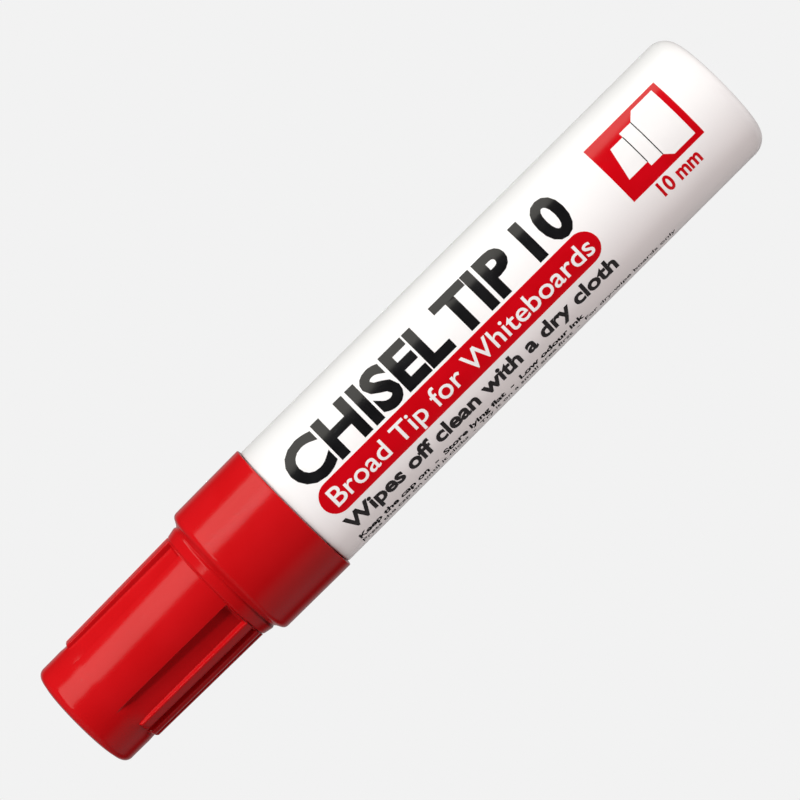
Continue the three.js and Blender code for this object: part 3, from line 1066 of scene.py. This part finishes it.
def printed(name, shape, start, facing, material, slot):
    """Slices flat artwork into strips and rolls it on, start millimetres from the cap's rim. facing is
    the direction of its y = 0 line, in degrees round the barrel from the front towards the lit side."""
    bmesh.ops.triangulate(shape, faces=shape.faces)
    ys = [v.co.y for v in shape.verts]
    level = math.floor(min(ys) / STRIP) * STRIP
    while level < max(ys):
        level += STRIP
        everything = [*shape.verts, *shape.edges, *shape.faces]
        bmesh.ops.bisect_plane(shape, geom=everything, plane_co=(0, level, 0), plane_no=(0, 1, 0))
    bmesh.ops.scale(shape, verts=shape.verts, vec=(MM, MM, MM))
    bmesh.ops.remove_doubles(shape, verts=shape.verts, dist=MERGE)
    bmesh.ops.recalc_face_normals(shape, faces=shape.faces)
    mesh = bpy.data.meshes.new(name)
    shape.to_mesh(mesh)
    shape.free()
    piece = new_object(name, mesh)
    apply_tree(piece, wrap_on_barrel, {
        "Tail radius": TAIL_SURFACE * MM,
        "Draft": DRAFT,
        "Start height": (CAP_RIM - start) * MM,
        "Direction": math.radians(facing - 90),
        "Material": material,
    })
    piece.data.set_sharp_from_angle(angle=math.radians(30))
    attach(piece, "marker_body")
    print(f"{name}: {len(piece.data.polygons)} faces")


# %% Name, pill and small print
# Each row of words has its capitals' height and its length, then its start from the rim and direction.
title = lettering("CHISEL TIP 10", 7.5, 57.0, weight=0.04, word_space=0.5)
printed("print_title", title, 3.2, -0.6, print_black, "print_black")
PILL_LENGTH, PILL_HEIGHT = 57.2, 5.4
pill_place = (3.3, -30.0)
pill = film_of_ink(capsule(PILL_LENGTH, PILL_HEIGHT))
printed("print_pill", pill, *pill_place, print_red, "print_red")
pill_words = lettering("Broad Tip for Whiteboards", 3.1, 54.0, weight=0.008, layer=2)
printed("print_pill_words", shifted(pill_words, 1.8, 1.2), *pill_place, print_white, "barrel_white")
tag_words = lettering("Wipes off clean with a dry cloth", 3.0, 56.2, weight=0.034)
printed("print_line", tag_words, 3.9, -49.4, print_black, "print_black")
upper_words = lettering("Keep the cap on  -  Store lying flat  -  Low odour ink", 1.4, 47.2, weight=0.035)
printed("print_small_upper", upper_words, 4.0, -65.4, print_black, "print_black")
lower_words = lettering(
    "Press the cap on until it clicks  -  Try it on a small area first  -  For dry-wipe boards only",
    1.2, 66.0, weight=0.01)
printed("print_small_lower", lower_words, 4.0, -74.0, print_black, "print_black")

# %% [markdown]
# ## Nib symbol
# A red block with a plain side view of nib, neck and barrel in white shows at a glance which tip the
# marker has. It is three films of ink, one above the other, so no two faces lie in one plane.

# %% Nib symbol
SYMBOL_LENGTH, SYMBOL_HEIGHT = 14.7, 11.2
symbol_place = (68.05, -18.0)
nib_and_nose = [
    (1.8, 2.9), (3.0, 8.2), (5.6, 8.2), (5.6, 9.0), (8.0, 9.0), (9.3, 10.4),
    (13.6, 10.4), (13.6, 0.9), (9.3, 0.9), (8.0, 2.1), (5.6, 2.1), (5.6, 2.9),
]
LINE_WIDTH = 0.16
symbol_lines = joined([
    film_of_ink(bar(5.5, 2.9, LINE_WIDTH, 5.3), layer=3),
    film_of_ink(bar(7.9, 2.1, LINE_WIDTH, 6.9), layer=3),
])
symbol_block = film_of_ink(bar(0, 0, SYMBOL_LENGTH, SYMBOL_HEIGHT))
symbol_nib = film_of_ink(nib_and_nose, layer=2)
printed("print_symbol", symbol_block, *symbol_place, print_red, "print_red")
printed("print_symbol_nib", symbol_nib, *symbol_place, print_white, "barrel_white")
printed("print_symbol_lines", symbol_lines, *symbol_place, print_black, "print_black")
size_words = lettering("10 mm", 2.7, 8.0, weight=0.03)
printed("print_size", size_words, 72.0, -33.4, print_red, "print_red")

# %% [markdown]
# ## Light
# A white object on a pale ground needs its form drawn by light. A long narrow soft box stands beside
# the marker on its lit side, tilted so that its reflection is an even band along the cap. Suns do the
# rest: they give the soft fall of light round a tube, and they stay out of the gloss. In a studio, flags
# keep a lamp off part of the object, and light linking does the same here: one sun is for the cap alone,
# and two weak ones, from past the ends, lift the barrel's shaded side.

# %% Aim helpers
CENTRE = (Vector(cad_low) + Vector(cad_high)) / 2


def around(angle, distance=1.0, height=CENTRE.z):
    """A point at a direction round the axis: 0 is the front, -Y, and positive is towards +X."""
    a = math.radians(angle)
    return Vector((math.sin(a) * distance, -math.cos(a) * distance, height))


def aimed(lamp, place):
    lamp.location = place
    lamp.rotation_euler = (CENTRE - place).to_track_quat("-Z", "Y").to_euler()
    bpy.context.scene.collection.objects.link(lamp)
    return lamp


# %% Soft box
BOX_DISTANCE = 0.7
BOX_DIRECTION = 67
BOX_WIDTH = 0.31
BOX_HEIGHT = 1.4
BOX_TILT = 57
BOX_RADIANCE = 1.7
box_data = bpy.data.lights.new("soft_box", "AREA")
box_data.shape = "RECTANGLE"
box_data.color = (1.0, 0.97, 0.88)
box_data.size = BOX_WIDTH
box_data.size_y = BOX_HEIGHT
box_data.energy = BOX_RADIANCE * math.pi * box_data.size * box_data.size_y
soft_box = aimed(bpy.data.objects.new("soft_box", box_data), around(BOX_DIRECTION, BOX_DISTANCE))
soft_box.rotation_euler.rotate_axis("Z", math.radians(BOX_TILT))
print(f"soft box: {box_data.energy:.2f} W")


# %% Suns
def sun(name, place, strength, softness, receivers=(), colour=(1, 1, 1)):
    """A sun that doesn't show in gloss. With receivers, flags keep it off everything else."""
    data = bpy.data.lights.new(name, "SUN")
    data.energy = strength
    data.angle = math.radians(softness)
    data.color = colour
    lamp = aimed(bpy.data.objects.new(name, data), place)
    lamp.visible_glossy = False
    if receivers:
        lit = bpy.data.collections.new(name)
        for piece in receivers:
            lit.objects.link(piece)
        lamp.light_linking.receiver_collection = lit
    print(f"{name}: {strength} W/m2, on {len(receivers) or 'all'} pieces")


PINKISH = (1.0, 0.88, 0.86)
END_REACH = 0.82
END_DISTANCE = 0.57
prints = [piece for piece in bpy.data.objects if piece.name.startswith("print_")]
sun("window", around(38), strength=2.0, softness=9)
sun("back_sun", around(165), strength=2.6, softness=12)
sun("cap_sun", around(50), strength=1.95, softness=12, receivers=(cap_shell, cap_ribs))
for end in (-1, 1):
    past_the_end = around(-25, END_DISTANCE, CENTRE.z + end * END_REACH)
    sun("barrel_sun", past_the_end, 0.36, 20, (barrel, nose, nib, *prints), PINKISH)

# %% [markdown]
# ## Surroundings
# An image of a studio could light the scene, but a few smooth steps in direction are easier to place.
# The world shows one thing to the camera, an even pale ground, another to gloss, a dim studio, and
# another to matt surfaces. That last light comes from past both ends of the marker, where a round part
# can't reflect it to the camera, so the shaded side stays clean.

# %% World
BACKDROP = 0.888
NEUTRAL, WARM = (1, 1, 1), (1.0, 0.865, 0.845)
STRAY_LIGHT = 0.02
GLOSSY_RAY = 3


def make_world():
    world = bpy.data.worlds.new("studio")
    bpy.context.scene.world = world
    world.use_nodes = True
    tree = world.node_tree
    start = Wire(tree)
    direction = start.node("ShaderNodeTexCoord")
    x, y, z = (
        start.node("ShaderNodeSeparateXYZ", inputs={"Vector": direction}, output=i) for i in range(3)
    )
    past_ends = start.maths("ABSOLUTE", z).between(0.4, 0.8)
    shade_side = (0 - x).between(0.75, 0.98)
    behind = y.between(0.7, 0.98)
    # The fill is weaker from behind than from the front, and stronger from the shaded side.
    fill = past_ends * y.between(0.0, 0.7, 1.02, 0.7) * x.between(-0.6, 0.6, 1.8, 0.65) + STRAY_LIGHT
    reflected = shade_side * 0.3 + behind * 0.25 + past_ends * 0.05 + STRAY_LIGHT
    camera_ray = start.node("ShaderNodeLightPath")
    glossy_ray = start.node("ShaderNodeLightPath", output=GLOSSY_RAY)
    # Light from the shaded side is warm. The lit side, the back and the ground that shows are neutral.
    neutral = start.maths("MAXIMUM", x.between(-0.3, 0.3), y.between(-0.1, 0.4))
    neutral = start.maths("MAXIMUM", camera_ray, neutral)
    colour = blend_colours(neutral, WARM, NEUTRAL)
    lit = fill + glossy_ray * (reflected - fill)
    shown = lit + camera_ray * (BACKDROP - lit)
    background = tree.nodes["Background"]
    tree.links.new(shown.socket, background.inputs["Strength"])
    tree.links.new(colour.socket, background.inputs["Color"])
    print("world:", len(tree.nodes), "nodes")


make_world()


# %% Floor
def make_floor(side=6.0, drop=0.0002):
    """A luminous table: the camera sees it, and it neither lights the object nor shows in it."""
    shape = bmesh.new()
    bmesh.ops.create_grid(shape, x_segments=1, y_segments=1, size=side / 2)
    bmesh.ops.translate(shape, verts=shape.verts, vec=(0, 0, -drop))
    floor = new_object("floor", mesh_from(shape, "floor"))
    material = bpy.data.materials.new("floor")
    material.use_nodes = True
    tree = material.node_tree
    glow = Wire(tree).node("ShaderNodeEmission", inputs={"Color": (1, 1, 1, 1), "Strength": BACKDROP})
    tree.links.new(glow.socket, tree.nodes["Material Output"].inputs["Surface"])
    floor.data.materials.append(material)
    floor.visible_diffuse = False
    floor.visible_glossy = False
    floor.visible_transmission = False
    floor.visible_shadow = False
    print(f"floor: {side} m square")


make_floor()

# %% [markdown]
# ## Camera
# The camera looks squarely at the marker from a little over half a metre away, and is rolled so that
# the cap points to the lower left of the picture.

# %% Place the camera
# The angle is the marker's slope across the view. FIELD is the width of the view at the marker.
PICTURE_ANGLE = 44.9
CAMERA_DISTANCE = 0.62
FIELD = 0.12068
FILM_WIDTH = 36
OFF_CENTRE = Vector((0.0002, 0, -0.0005))
roll = math.radians(180 + PICTURE_ANGLE)
picture_right = Vector((math.cos(roll - math.pi / 2), 0, math.cos(roll)))
picture_up = Vector((math.sin(roll - math.pi / 2), 0, math.sin(roll)))
camera_data = bpy.data.cameras.new("camera")
camera_data.sensor_width = FILM_WIDTH
camera_data.lens = FILM_WIDTH * CAMERA_DISTANCE / FIELD
camera_data.clip_start = 0.01
camera_data.clip_end = 20
camera = bpy.data.objects.new("camera", camera_data)
bpy.context.scene.collection.objects.link(camera)
back = picture_right.cross(picture_up)
camera.location = CENTRE + OFF_CENTRE + back * CAMERA_DISTANCE
camera.rotation_euler = Matrix((picture_right, picture_up, back)).transposed().to_euler()
bpy.context.scene.camera = camera
bpy.context.scene.view_settings.view_transform = "Standard"
print("camera looks along", [round(v, 3) for v in -back], "lens", round(camera_data.lens))
